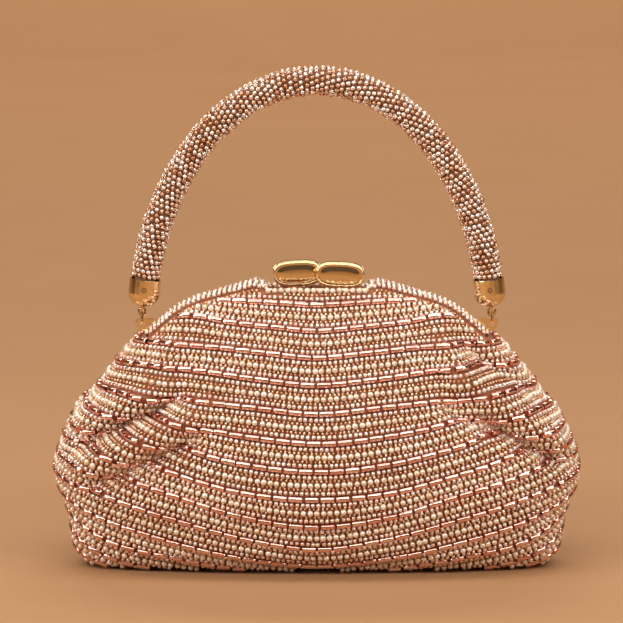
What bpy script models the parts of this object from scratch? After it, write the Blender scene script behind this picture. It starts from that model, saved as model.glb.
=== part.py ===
"""Beaded evening bag: a dome frame with a kiss-lock, a soft body and a swinging arch handle.

Metres, +Z up. The bag stands on z = 0 with its front towards -Y and its width along X.
The origin is the middle of the base.
"""
import math

import bmesh
import bpy
import numpy as np
from mathutils import Matrix, Vector

# Body: half width and half depth at each height, read as one smooth curve.
BODY_Z = np.array([0.0, 0.007, 0.025, 0.048, 0.062, 0.078, 0.1037])
BODY_A = np.array([0.1040, 0.1098, 0.1140, 0.1205, 0.1158, 0.1052, 0.0852])
BODY_B = np.array([0.0190, 0.0305, 0.0435, 0.0470, 0.0455, 0.0405, 0.0290])
DOME_Z = np.array([0.1037, 0.1147, 0.1247, 0.1355])
DOME_B = np.array([0.0290, 0.0205, 0.0130, 0.0052])
SECTION_X = 2.6          # superellipse power across the width
SECTION_Y = 2.2          # superellipse power across the depth
SHOULDER_Z = 0.1071      # the top of each gusset, under the handle's lug
HINGE_Z = 0.1045         # the frame's hinge line, just under the shoulders
HINGE_X = 0.07525        # middle of each hinge's pair of ears
YOKE_Z = 0.1037          # below this height the front panel belongs to the body
ARCH_R = 0.130           # dome edge, an arc about (0, ARCH_Z)
ARCH_Z = 0.0055
SEAT_Z = 0.1290          # the edge sinks to this height in the middle, to seat the finger plates
SEAT_HALF = 0.0265
SEAT_EASE = 0.0045
GAP = 0.0003             # clearance between neighbouring pieces

# Cloth and boards
CLOTH = 0.0012
PANEL_COLUMNS = 17
PANEL_ROWS = 10
DOME_ROWS = 6
SLOT_Y = 0.00085         # half of the slot between front and back hems
HEM_Y = 0.0049           # outer face of the hem over the rail
LINING = 0.0006
LINING_INSET = 0.0055
SEAM_WIDE = 0.93         # share of the half width where the side seam runs, at base and hinge
SEAM_DIP = 0.09          # how far the seam moves in at mid height
SEAM_GAP = 0.002         # share of the half width left open on each side of a seam
HEM_STEP = 0.004         # the first dome row stands this far above the panel's last one
BOARD = 0.0018
BOARD_INSET = 0.003
BASE_T = 0.0015
CUP_FLOOR = (0.02, 0.5, 0.94)    # sizes of the rings that make the lining's floor
CUP_CORNER = 0.003       # height of the lining's rounded floor edge
CUP_TOP = 0.0997
CUP_ROWS = 7
YOKE_LINING_INSET = 0.0080
YOKE_LINING_HEM = 0.0022
YOKE_LINING_Z = 0.1002
POCKET_HALF = 0.045
POCKET_Z = (0.036, 0.084)
POCKET_INSET = 0.0067

# Frame rails
RAIL_OUT = 0.1283
RAIL_IN = 0.1243
RAIL_T = 0.0025
RAIL_Y = SLOT_Y + RAIL_T / 2
FOOT_RISE = 0.0004       # the rail ends this far above the ears
EAR_R = 0.0028
EAR_T = 0.0012
EAR_SHIFT = 0.00075      # front ears sit this far inward, and back ears this far outward
EAR_INSET = 0.0002       # the ear's tab is this much thinner than the rail on each face
TAB_TOP = 0.0038         # heights above the hinge line
TAB_FOOT = 0.0022
PIN_R = 0.0008
PIN_FIT = 0.00005
PIN_LENGTH = 0.0048
PIN_HEAD_R = 0.0016
PIN_HEAD_T = 0.0006
PIN_HEAD_X = 0.0021
THROUGH = 0.004          # length of a cutter that goes right through a thin piece

# Handle
ARCH_HALF = 0.0800       # centreline ellipse
ARCH_RISE = 0.1120
ARCH_BASE = 0.1120
SLEEVE_R = 0.0063
SLEEVE_IN = 0.0042
CORE_R = 0.0035
CAP_R = 0.00725
CAP_WALL = 0.0006
CAP_H = 0.0130
CAP_TILT = math.radians(6)
CAP_BOWL = 0.0062        # height of the cap's round bottom
CAP_DISH_Z = 0.0064
CAP_DISH = 0.0050
CAP_BORE_R = 0.0010
CAP_FLOOR = 0.0013
CAP_LIP = 0.0002
SCREW_Z = 0.0085
SCREW_HOLE_R = 0.0011
SCREW_R = 0.0008
SCREW_T = 0.0006
CORE_Z = 0.1262          # where the rod and its sleeve start, inside the caps
SLEEVE_Z = 0.1290
WIRE_R = 0.0006

# Ring chain: the lug's bar, then the jump ring, then the eye's bar
RING_X = 0.0804
LUG_BAR_Z = 0.1138
BAR_STEP = 0.0020        # distance between the two bars that one jump ring holds
RING_R = 0.0026
EYE_R = 0.0016
LUG_T = 0.0010
LUG_HOLE_R = 0.0013
LUG_BAR_HALF = 0.00005   # the bar over the lug's hole is this much thicker than the ring's wire
LUG_RIVET = (0.0700, 0.1106)
LUG_OUTLINE = [(0.0678, 0.1101), (0.0688, 0.1128), (0.0722, 0.1140), (0.0770, 0.11435), (0.0822, 0.11445),
               (0.0834, 0.1128), (0.0818, 0.1090), (0.0786, 0.1081), (0.0704, 0.1081)]
RIVET_HEAD_R = 0.0015
RIVET_HEAD_T = 0.00012
RIVET_START = 0.0007     # the rivet's front end, before the middle plane
RIVET_PAST = 0.0002      # how far its tail passes the rail
SHANK_R = 0.0007         # the eye's shank through the cap's floor
SHANK_L = 0.0036
SHANK_Z = 0.0010
SHANK_HEAD_R = 0.0016
SHANK_HEAD_T = 0.0007
SHANK_HEAD_Z = 0.0025

# Kiss-lock finger plates
PLATE_W = 0.0231
PLATE_H = 0.0110
PLATE_T = 0.0046
PLATE_Z = 0.1354
PLATE_X = 0.0105
PLATE_TILT = math.radians(3)
STEM_W = 0.0050
STEM_T = 0.0016
STEM_H = 0.0085
STEM_Z = 0.1264
STEM_DROP = 0.0001
SOCKET_H = 0.0090
SLOT_H = 0.012
SLOT_RISE = 0.004        # the cloth's opening is cut this far above the stem's middle
FLANGE_Z = 0.1222
FLANGE_H = 0.0010
FLANGE_WIDE = 0.0030
FLANGE_THICK = 0.0006
PLATE_ROUND = 0.0009
PLATE_POWER = 3.2


def start():
    for old in list(bpy.data.objects):
        bpy.data.objects.remove(old, do_unlink=True)
    groups = []
    for name in ("evening_bag", "cutters"):
        group = bpy.data.collections.new(name)
        bpy.context.scene.collection.children.link(group)
        groups.append(group)
    return groups


PARTS, CUTTERS = start()
MATERIALS = {}


def material(name, colour, rough, metal=0.0):
    if name not in MATERIALS:
        mat = bpy.data.materials.new(name)
        mat.use_nodes = True
        shader = mat.node_tree.nodes["Principled BSDF"]
        shader.inputs["Base Color"].default_value = (*colour, 1)
        shader.inputs["Roughness"].default_value = rough
        shader.inputs["Metallic"].default_value = metal
        MATERIALS[name] = mat
    return MATERIALS[name]


def beaded_cloth():
    return material("beaded_cloth", (0.62, 0.38, 0.27), 0.45)


def handle_beads():
    return material("handle_beads", (0.78, 0.55, 0.42), 0.4)


def satin():
    return material("lining_satin", (0.72, 0.50, 0.38), 0.5)


def gold():
    return material("gold", (0.90, 0.62, 0.28), 0.16, 1.0)


def steel():
    return material("steel", (0.62, 0.60, 0.58), 0.3, 1.0)


def stiff_board():
    return material("board", (0.25, 0.20, 0.17), 0.8)


def handle_rod():
    return material("handle_rod", (0.35, 0.33, 0.30), 0.5)


def add(name, mesh, mat):
    mesh.materials.clear()
    mesh.materials.append(mat)
    obj = bpy.data.objects.new(name, mesh)
    PARTS.objects.link(obj)
    return obj


def smooth_shade(obj, angle=35):
    obj.data.shade_smooth()
    obj.data.set_sharp_from_angle(angle=math.radians(angle))
    return obj


def curve_read(z, knots, values):
    """Smooth curve through the knots, read at z."""
    slopes = np.gradient(values, knots)
    i = int(np.clip(np.searchsorted(knots, z) - 1, 0, len(knots) - 2))
    step = knots[i + 1] - knots[i]
    t = float(np.clip((z - knots[i]) / step, 0, 1))
    h = (2 * t**3 - 3 * t**2 + 1, t**3 - 2 * t**2 + t, -2 * t**3 + 3 * t**2, t**3 - t**2)
    return h[0] * values[i] + h[1] * step * slopes[i] + h[2] * values[i + 1] + h[3] * step * slopes[i + 1]


def seat_half(radius):
    """Half length of the seat: lines further in are longer, so that the layers keep their gaps."""
    return SEAT_HALF + 0.5 * (ARCH_R - radius)


def arch_height(x, radius=ARCH_R):
    """The dome's edge at x, or a line inside it: an arc with a flat seat in the middle."""
    arc = ARCH_Z + math.sqrt(max(radius**2 - x**2, 0))
    t = min(max((seat_half(radius) - abs(x)) / SEAT_EASE, 0), 1)
    share = t * t * (3 - 2 * t)
    return arc + share * (SEAT_Z - ARCH_R + radius - arc)


def half_width(z, inset=0.0):
    if z >= YOKE_Z:
        return math.sqrt(max((ARCH_R - inset) ** 2 - (z - ARCH_Z) ** 2, 1e-10))
    return curve_read(z, BODY_Z, BODY_A) - inset


def half_depth(z, inset=0.0):
    table = (DOME_Z, DOME_B) if z > YOKE_Z else (BODY_Z, BODY_B)
    return curve_read(z, *table) - inset


def depth_at(x, z, inset=0.0, hem=HEM_Y):
    """Distance of the skin from the bag's middle plane."""
    share = min(abs(x) / half_width(z, inset), 1.0)
    swell = max(half_depth(z, inset) - hem, 0.0)
    return hem + swell * (1 - share**SECTION_X) ** (1 / SECTION_Y)


def seam_share(z):
    """Where the side seam runs, as a share of the half width. Above YOKE_Z it runs straight up."""
    if z > YOKE_Z:
        return SEAM_WIDE * half_width(YOKE_Z) / half_width(z)
    return SEAM_WIDE - SEAM_DIP * math.sin(math.pi * z / YOKE_Z)


def grid_mesh(name, rows, flip=False):
    """A sheet through equal rows of points."""
    bm = bmesh.new()
    verts = [[bm.verts.new(p) for p in row] for row in rows]
    for low, high in zip(verts, verts[1:]):
        for a, b, c, d in zip(low, low[1:], high[1:], high):
            bm.faces.new((a, d, c, b) if flip else (a, b, c, d))
    mesh = bpy.data.meshes.new(name)
    bm.to_mesh(mesh)
    bm.free()
    return mesh


def shell(name, rows, mat, thickness, flip=False):
    """The sheet is the outer face, and the thickness goes inward."""
    obj = add(name, grid_mesh(name, rows, flip), mat)
    solid = obj.modifiers.new("thickness", "SOLIDIFY")
    solid.thickness = thickness
    solid.offset = -1
    solid.use_even_offset = True
    return smooth_shade(obj, 50)


def panel_columns(inset):
    """Shares of the panel's reach where its columns stand, with extra ones at the seat's edges."""
    reach = half_width(YOKE_Z, inset) * (seam_share(YOKE_Z) - SEAM_GAP)
    even = np.sin(np.linspace(-1, 1, PANEL_COLUMNS) * math.pi / 2)
    outer = seat_half(ARCH_R - inset)
    seat = [end * x / reach for end in (-1, 1) for x in (outer - SEAT_EASE, outer)]
    return np.array(sorted([*even, *seat]))


def panel_rows(side, z_low, z_high, count, inset=0.0, dome_rows=0, hem=HEM_Y, lip=None):
    """Rows of one big panel, front for side -1 and back for +1, from z_low up.

    Above YOKE_Z the columns keep their x and run up to the dome's arc. lip adds a last
    row over the rail, at that distance from the middle plane.
    """
    columns = panel_columns(inset)
    rows = []
    for z in np.linspace(z_low, z_high, count) if count else []:
        reach = half_width(z, inset) * (seam_share(z) - SEAM_GAP)
        rows.append([(s * reach, side * depth_at(s * reach, z, inset, hem), z) for s in columns])
    reach = half_width(YOKE_Z, inset) * (seam_share(YOKE_Z) - SEAM_GAP)
    start_z = z_high + HEM_STEP if count else z_low
    for t in np.sin(np.linspace(0, 1, dome_rows) * math.pi / 2) if dome_rows else []:
        row = []
        for x in columns * reach:
            z = start_z + t * (arch_height(x, ARCH_R - inset) - start_z)
            row.append((x, side * depth_at(x, z, inset, hem), z))
        rows.append(row)
    if lip is not None:
        rows.append([(x, side * lip, z) for x, y, z in rows[-1]])
    return rows


def gusset_rows(side, z_low, z_high, count, inset=0.0):
    """Rows round one end of the bag, from the front seam to the back seam."""
    rows = []
    for z in np.linspace(z_low, z_high, count):
        wide, deep = half_width(z, inset), half_depth(z, inset)
        edge = math.acos((seam_share(z) + SEAM_GAP) ** (SECTION_X / 2))
        angles = edge * np.linspace(0, 1, 6)
        arc = [
            (wide * math.cos(a) ** (2 / SECTION_X), HEM_Y + (deep - HEM_Y) * math.sin(a) ** (2 / SECTION_Y))
            for a in angles
        ]
        half = [(side * x, -y, z) for x, y in reversed(arc)]
        rows.append(half + [(x, -y, z) for x, y, z in reversed(half)])
    return rows


def section_outline(z, inset, count=32):
    """The bag's whole outline at one height."""
    wide, deep = half_width(z, inset), half_depth(z, inset)
    points = []
    for a in np.linspace(0, 2 * math.pi, count, endpoint=False):
        c, s = math.cos(a), math.sin(a)
        points.append((math.copysign(wide * abs(c) ** (2 / SECTION_X), c),
                       math.copysign(deep * abs(s) ** (2 / SECTION_Y), s)))
    return points


def plate_mesh(name, outline, thickness, matrix):
    """A flat outline extruded both ways from its plane, which matrix places."""
    curve = bpy.data.curves.new(name, "CURVE")
    curve.dimensions = "2D"
    curve.fill_mode = "BOTH"
    curve.extrude = thickness / 2
    spline = curve.splines.new("POLY")
    spline.points.add(len(outline) - 1)
    for point, (x, y) in zip(spline.points, outline):
        point.co = (x, y, 0, 1)
    spline.use_cyclic_u = True
    return curve_mesh(name, curve, matrix)


def curve_mesh(name, curve, matrix=None):
    """The curve as a welded mesh, with the curve removed."""
    guide = bpy.data.objects.new(name + "_guide", curve)
    bpy.context.scene.collection.objects.link(guide)
    bpy.context.view_layer.update()
    evaluated = guide.evaluated_get(bpy.context.evaluated_depsgraph_get())
    mesh = bpy.data.meshes.new_from_object(evaluated)
    bpy.data.objects.remove(guide, do_unlink=True)
    bm = bmesh.new()
    bm.from_mesh(mesh)
    bmesh.ops.remove_doubles(bm, verts=bm.verts, dist=0.00001)
    bmesh.ops.recalc_face_normals(bm, faces=bm.faces)
    if matrix is not None:
        bmesh.ops.transform(bm, matrix=matrix, verts=bm.verts)
    bm.to_mesh(mesh)
    bm.free()
    mesh.name = name
    return mesh


UPRIGHT = Matrix.Rotation(math.pi / 2, 4, "X")      # flat outline (x, y) stands as (x, z), facing -Y
ACROSS = Matrix(((0, 0, 1, 0), (1, 0, 0, 0), (0, 1, 0, 0), (0, 0, 0, 1)))  # (x, y) to (y, z), facing X


def placed(turn, x=0.0, y=0.0, z=0.0):
    return Matrix.Translation((x, y, z)) @ turn


def cylinder_mesh(name, radius, length, matrix, sides=20):
    bm = bmesh.new()
    bmesh.ops.create_cone(bm, cap_ends=True, segments=sides, radius1=radius, radius2=radius,
                          depth=length, matrix=matrix)
    mesh = bpy.data.meshes.new(name)
    bm.to_mesh(mesh)
    bm.free()
    return mesh


def box_mesh(name, size, centre):
    bm = bmesh.new()
    bmesh.ops.create_cube(bm, size=1, matrix=Matrix.Translation(centre) @ Matrix.Diagonal((*size, 1)))
    mesh = bpy.data.meshes.new(name)
    bm.to_mesh(mesh)
    bm.free()
    return mesh


def combine(obj, name, mesh, operation):
    """Joins or cuts obj with a hidden helper solid."""
    helper = bpy.data.objects.new(name, mesh)
    helper.hide_render = True
    helper.display_type = "WIRE"
    CUTTERS.objects.link(helper)
    step = obj.modifiers.new(name, "BOOLEAN")
    step.operation = operation
    step.solver = "EXACT"
    step.object = helper
    return obj


def rounded(obj, width, segments=2, angle=30):
    bevel = obj.modifiers.new("rounded", "BEVEL")
    bevel.width = width
    bevel.segments = segments
    bevel.limit_method = "ANGLE"
    bevel.angle_limit = math.radians(angle)
    return obj


def turn_y(angle):
    return Matrix.Rotation(angle, 4, "Y")


ALONG_X = Matrix.Rotation(math.pi / 2, 4, "Y")
ALONG_Y = Matrix.Rotation(math.pi / 2, 4, "X")


# ---- soft body ----

def make_panels():
    foot, cloth = BASE_T + GAP, beaded_cloth()
    front = panel_rows(-1, foot, YOKE_Z - CLOTH - GAP, PANEL_ROWS)
    back = panel_rows(1, foot, YOKE_Z - HEM_STEP, PANEL_ROWS, dome_rows=DOME_ROWS, lip=SLOT_Y)
    yoke = panel_rows(-1, YOKE_Z, 0, 0, dome_rows=DOME_ROWS, lip=SLOT_Y)
    shell("front_panel", front, cloth, CLOTH)
    shell("back_panel", back, cloth, CLOTH, flip=True)
    shell("front_yoke", yoke, cloth, CLOTH)
    for side, name in ((-1, "left_gusset"), (1, "right_gusset")):
        shell(name, gusset_rows(side, foot, SHOULDER_Z, PANEL_ROWS), cloth, CLOTH, flip=side < 0)


def make_base():
    panel = plate_mesh("base_panel", section_outline(0, 0), BASE_T, placed(Matrix(), z=BASE_T / 2))
    add("base_panel", panel, beaded_cloth())
    board = plate_mesh("base_board", section_outline(0, BOARD_INSET), BOARD,
                       placed(Matrix(), z=BASE_T + GAP + BOARD / 2))
    add("base_board", board, stiff_board())


def ring_mesh_of(name, rows):
    """Closed rings of points joined one to the next, with the first one filled."""
    bm = bmesh.new()
    rings = [[bm.verts.new(p) for p in row] for row in rows]
    for low, high in zip(rings, rings[1:]):
        for i in range(len(low)):
            j = (i + 1) % len(low)
            bm.faces.new((low[i], low[j], high[j], high[i]))
    bm.faces.new(reversed(rings[0]))
    mesh = bpy.data.meshes.new(name)
    bm.to_mesh(mesh)
    bm.free()
    return mesh


def make_lining_cup():
    floor_z = BASE_T + BOARD + 3 * GAP
    floor = section_outline(floor_z, LINING_INSET)
    rows = [[(x * size, y * size, floor_z) for x, y in floor] for size in CUP_FLOOR]
    rows += [[(x, y, z) for x, y in section_outline(z, LINING_INSET)]
             for z in np.linspace(floor_z + CUP_CORNER, CUP_TOP, CUP_ROWS)]
    cup = add("lining_cup", ring_mesh_of("lining_cup", rows), satin())
    solid = cup.modifiers.new("thickness", "SOLIDIFY")
    solid.thickness = LINING
    solid.offset = -1
    smooth_shade(cup, 50)


def make_lining_yokes():
    for side, name in ((-1, "front_lining_yoke"), (1, "back_lining_yoke")):
        rows = panel_rows(side, YOKE_LINING_Z, 0, 0, inset=YOKE_LINING_INSET, dome_rows=DOME_ROWS,
                          hem=YOKE_LINING_HEM)
        shell(name, rows, satin(), LINING, flip=side > 0)


def make_pocket():
    rows = [[(x, depth_at(x, z, POCKET_INSET, 0.0), z) for x in np.linspace(-POCKET_HALF, POCKET_HALF, 9)]
            for z in np.linspace(*POCKET_Z, 6)]
    shell("slip_pocket", rows, satin(), LINING, flip=True)


# ---- frames, hinge rivets and clasp ----

def rail_outline():
    """The arch rail seen from the front, ending just above the hinge ears."""
    foot = HINGE_Z + EAR_R + FOOT_RISE
    lines = []
    for radius in (RAIL_OUT, RAIL_IN):
        end = math.acos((foot - ARCH_Z) / radius)
        seat = [seat_half(radius), seat_half(radius) - SEAT_EASE]
        even = [radius * math.sin(a) for a in np.linspace(-end, end, 23)]
        even = [x for x in even if abs(x) > seat[0] + GAP]
        spots = sorted([*even, *seat, *[-x for x in seat]])
        lines.append([(x, arch_height(x, radius)) for x in spots])
    return lines[0] + lines[1][::-1]


def ear_outline(side):
    """The hinge ear seen from the end: a disc about the pin with a tab up to the rail."""
    disc = [(EAR_R * math.cos(a), HINGE_Z + EAR_R * math.sin(a))
            for a in np.linspace(math.radians(15), math.radians(-195), 15)]
    y_in, y_out = SLOT_Y + EAR_INSET, SLOT_Y + RAIL_T - EAR_INSET
    top, foot = HINGE_Z + TAB_TOP, HINGE_Z + TAB_FOOT
    tab = [(-y_out, top), (-y_in, top), (-y_in, foot)]
    outline = disc + tab
    return outline if side < 0 else [(-y, z) for y, z in reversed(outline)]


def make_frame(name, side, ear_shift):
    """One rail with its two ears. side is -1 for the front, and ear_shift moves the ears along X."""
    rail = add(name, plate_mesh(name, rail_outline(), RAIL_T, placed(UPRIGHT, y=side * RAIL_Y)), steel())
    for end in (-1, 1):
        x = end * (HINGE_X + ear_shift)
        ear = plate_mesh("ear", ear_outline(side), EAR_T, placed(ACROSS, x=x))
        combine(rail, f"{name}_ear_{end}", ear, "UNION")
        hole = cylinder_mesh("hole", PIN_R + PIN_FIT, THROUGH, placed(ALONG_X, x, 0, HINGE_Z))
        combine(rail, f"{name}_hole_{end}", hole, "DIFFERENCE")
    slot = box_mesh("slot", (STEM_W + 2 * GAP, STEM_T + 2 * GAP, SLOT_H), stem_centre(side))
    combine(rail, f"{name}_slot", slot, "DIFFERENCE")
    return rail


def cut_rivet_hole(rail, side):
    for end in (-1, 1):
        x, z = end * LUG_RIVET[0], LUG_RIVET[1]
        hole = cylinder_mesh("hole", PIN_R + GAP, 2 * THROUGH, placed(ALONG_Y, x, side * RAIL_Y, z))
        combine(rail, f"rivet_hole_{end}", hole, "DIFFERENCE")


def make_hinge_rivets():
    for end, name in ((-1, "left_hinge_rivet"), (1, "right_hinge_rivet")):
        middle = end * HINGE_X
        rivet = add(name, cylinder_mesh(name, PIN_R, PIN_LENGTH, placed(ALONG_X, middle, 0, HINGE_Z)), gold())
        for way in (-1, 1):
            where = placed(ALONG_X, middle + way * PIN_HEAD_X, 0, HINGE_Z)
            head = cylinder_mesh("head", PIN_HEAD_R, PIN_HEAD_T, where)
            combine(rivet, f"{name}_head_{way}", head, "UNION")
        smooth_shade(rivet)


def stem_centre(side):
    return (-side * PLATE_X, side * RAIL_Y, STEM_Z)


def clasp_turn(side):
    return turn_y(-side * PLATE_TILT)


def plate_outline():
    """A lozenge with full round ends."""
    points = []
    for a in np.linspace(0, 2 * math.pi, 28, endpoint=False):
        c, s = math.cos(a), math.sin(a)
        points.append((math.copysign(PLATE_W / 2 * abs(c) ** (2 / PLATE_POWER), c),
                       math.copysign(PLATE_H / 2 * abs(s) ** (2 / PLATE_POWER), s)))
    return points


def make_clasp(side, label):
    x, y, z = stem_centre(side)
    plate_y = side * (GAP + PLATE_T / 2)
    where = placed(clasp_turn(side), -side * PLATE_X, plate_y, PLATE_Z)
    name = f"{label}_clasp_plate"
    plate = add(name, plate_mesh(name, plate_outline(), PLATE_T, where @ UPRIGHT), gold())
    rounded(plate, PLATE_ROUND)
    socket = box_mesh("socket", (STEM_W + 2 * GAP, STEM_T + 2 * GAP, SOCKET_H), (x, y, z))
    combine(plate, f"{name}_socket", socket, "DIFFERENCE")
    smooth_shade(plate, 40)
    name = f"{label}_clasp_stem"
    stem = add(name, box_mesh(name, (STEM_W, STEM_T, STEM_H), (x, y, z - STEM_DROP)), steel())
    flange = box_mesh("flange", (STEM_W + FLANGE_WIDE, STEM_T + FLANGE_THICK, FLANGE_H), (x, y, FLANGE_Z))
    combine(stem, f"{name}_flange", flange, "UNION")
    owner = bpy.data.objects["front_yoke" if side < 0 else "back_panel"]
    opening = box_mesh("opening", (STEM_W + 2 * GAP, STEM_T + 2 * GAP, SLOT_H), (x, y, z + SLOT_RISE))
    combine(owner, f"{label}_stem_opening", opening, "DIFFERENCE")


# ---- handle fittings ----


def make_lugs():
    for end, label in ((-1, "left"), (1, "right")):
        outline = [(end * x, z) for x, z in LUG_OUTLINE][::end]
        name = f"{label}_handle_lug"
        lug = add(name, plate_mesh(name, outline, LUG_T, UPRIGHT), gold())
        rounded(lug, 0.0002)
        hole_z = LUG_BAR_Z - WIRE_R - LUG_BAR_HALF - LUG_HOLE_R
        hole_at = placed(ALONG_Y, end * RING_X, 0, hole_z)
        hole = cylinder_mesh("hole", LUG_HOLE_R, THROUGH, hole_at, 16)
        combine(lug, f"{name}_ring_hole", hole, "DIFFERENCE")
        rivet_at = placed(ALONG_Y, end * LUG_RIVET[0], 0, LUG_RIVET[1])
        bore = cylinder_mesh("bore", PIN_R + GAP, THROUGH, rivet_at, 16)
        combine(lug, f"{name}_rivet_hole", bore, "DIFFERENCE")
        make_lug_rivet(end, f"{label}_lug_rivet")


def make_lug_rivet(end, name):
    x, z = end * LUG_RIVET[0], LUG_RIVET[1]
    far = SLOT_Y + RAIL_T + RIVET_PAST
    shank = placed(ALONG_Y, x, (far - RIVET_START) / 2, z)
    rivet = add(name, cylinder_mesh(name, PIN_R, far + RIVET_START, shank, 16), gold())
    head_at = placed(ALONG_Y, x, far + RIVET_PAST / 10, z)
    combine(rivet, f"{name}_head", cylinder_mesh("head", RIVET_HEAD_R, RIVET_HEAD_T, head_at, 16), "UNION")
    smooth_shade(rivet)


def ring_mesh(name, radius, matrix):
    """A wire ring with its axis on the matrix's Z."""
    curve = bpy.data.curves.new(name, "CURVE")
    curve.dimensions = "3D"
    curve.bevel_depth = WIRE_R
    curve.bevel_resolution = 2
    spline = curve.splines.new("POLY")
    count = 16
    spline.points.add(count - 1)
    for i, point in enumerate(spline.points):
        a = 2 * math.pi * i / count
        point.co = (radius * math.cos(a), radius * math.sin(a), 0, 1)
    spline.use_cyclic_u = True
    return curve_mesh(name, curve, matrix)


def make_jump_rings():
    centre_z = LUG_BAR_Z + BAR_STEP / 2
    for end, name in ((-1, "left_jump_ring"), (1, "right_jump_ring")):
        smooth_shade(add(name, ring_mesh(name, RING_R, placed(ALONG_X, end * RING_X, 0, centre_z)), gold()), 80)


def cap_frame(end):
    """The cap's own frame: its bottom centre, with Z up the cap, leaning inward."""
    lean = turn_y(-end * CAP_TILT)
    bar = Vector((end * RING_X, 0, LUG_BAR_Z + BAR_STEP))
    lift = 2 * EYE_R + WIRE_R + GAP
    return Matrix.Translation(bar + lean @ Vector((0, 0, lift))) @ lean


def cap_profile():
    """Outer side from the rim down, the bore in the bottom, then up the inside."""
    inner, last = CAP_R - CAP_WALL, 1.40
    turns = np.linspace(0, last, 6)
    bowl = [(CAP_R * math.cos(a) ** 0.9, CAP_BOWL * (1 - math.sin(a))) for a in turns]
    dish = [(inner * math.cos(a) ** 0.9, CAP_DISH_Z - CAP_DISH * math.sin(a)) for a in turns[::-1]]
    rim = [(inner, CAP_H), (CAP_R - CAP_LIP / 2, CAP_H)]
    return [(CAP_R, CAP_H - CAP_LIP), *bowl, (CAP_BORE_R, 0.0), (CAP_BORE_R, CAP_FLOOR), *dish, *rim]


def turned_mesh(name, profile, matrix, steps=20):
    """A closed profile (radius, height) turned about Z."""
    bm = bmesh.new()
    verts = [bm.verts.new((r, 0, z)) for r, z in profile]
    for a, b in zip(verts, verts[1:] + verts[:1]):
        bm.edges.new((a, b))
    bmesh.ops.spin(bm, geom=bm.verts[:] + bm.edges[:], cent=(0, 0, 0), axis=(0, 0, 1),
                   angle=2 * math.pi, steps=steps, use_merge=True)
    bmesh.ops.remove_doubles(bm, verts=bm.verts, dist=0.00001)
    bmesh.ops.recalc_face_normals(bm, faces=bm.faces)
    bmesh.ops.transform(bm, matrix=matrix, verts=bm.verts)
    mesh = bpy.data.meshes.new(name)
    bm.to_mesh(mesh)
    bm.free()
    return mesh


def make_caps():
    for end, label in ((-1, "left"), (1, "right")):
        frame = cap_frame(end)
        name = f"{label}_end_cap"
        cap = add(name, turned_mesh(name, cap_profile(), frame), gold())
        screw_at = frame @ Matrix.Translation((0, GAP - CAP_R, SCREW_Z)) @ ALONG_Y
        hole = cylinder_mesh("hole", SCREW_HOLE_R, THROUGH * 0.75, screw_at, 16)
        combine(cap, f"{name}_screw_hole", hole, "DIFFERENCE")
        smooth_shade(cap, 40)
        name = f"{label}_grub_screw"
        add(name, cylinder_mesh(name, SCREW_R, SCREW_T, screw_at, 16), steel())
        make_cap_eye(f"{label}_cap_eye", frame)


def make_cap_eye(name, frame):
    centre = frame @ Matrix.Translation((0, 0, -(EYE_R + WIRE_R + GAP)))
    eye = add(name, ring_mesh(name, EYE_R, centre @ ALONG_Y), gold())
    shank = cylinder_mesh("shank", SHANK_R, SHANK_L, frame @ Matrix.Translation((0, 0, SHANK_Z)), 12)
    combine(eye, f"{name}_shank", shank, "UNION")
    head_at = frame @ Matrix.Translation((0, 0, SHANK_HEAD_Z))
    combine(eye, f"{name}_head", cylinder_mesh("head", SHANK_HEAD_R, SHANK_HEAD_T, head_at, 12), "UNION")
    smooth_shade(eye, 80)


def handle_path(start_z, count):
    """Points along the arch's centreline, from start_z on the left over to the right."""
    first = math.asin((start_z - ARCH_BASE) / ARCH_RISE)
    return [(-ARCH_HALF * math.cos(a), 0, ARCH_BASE + ARCH_RISE * math.sin(a))
            for a in np.linspace(first, math.pi - first, count)]


def tube_mesh(name, path, radius, caps):
    curve = bpy.data.curves.new(name, "CURVE")
    curve.dimensions = "3D"
    curve.bevel_depth = radius
    curve.bevel_resolution = 2
    curve.use_fill_caps = caps
    spline = curve.splines.new("POLY")
    spline.points.add(len(path) - 1)
    for point, place in zip(spline.points, path):
        point.co = (*place, 1)
    return curve_mesh(name, curve)


def make_handle():
    core = tube_mesh("handle_core", handle_path(CORE_Z, 30), CORE_R, True)
    smooth_shade(add("handle_core", core, handle_rod()))
    sleeve = tube_mesh("handle_sleeve", handle_path(SLEEVE_Z, 34), SLEEVE_R, False)
    sleeve = add("handle_sleeve", sleeve, handle_beads())
    solid = sleeve.modifiers.new("thickness", "SOLIDIFY")
    solid.thickness = SLEEVE_R - SLEEVE_IN
    solid.offset = -1
    smooth_shade(sleeve, 50)


make_panels()
make_base()
make_lining_cup()
make_lining_yokes()
make_pocket()
make_frame("front_frame", -1, -EAR_SHIFT)
cut_rivet_hole(make_frame("back_frame", 1, EAR_SHIFT), 1)
make_hinge_rivets()
make_clasp(-1, "front")
make_clasp(1, "back")
make_lugs()
make_jump_rings()
make_caps()
make_handle()
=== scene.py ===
import math

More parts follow.
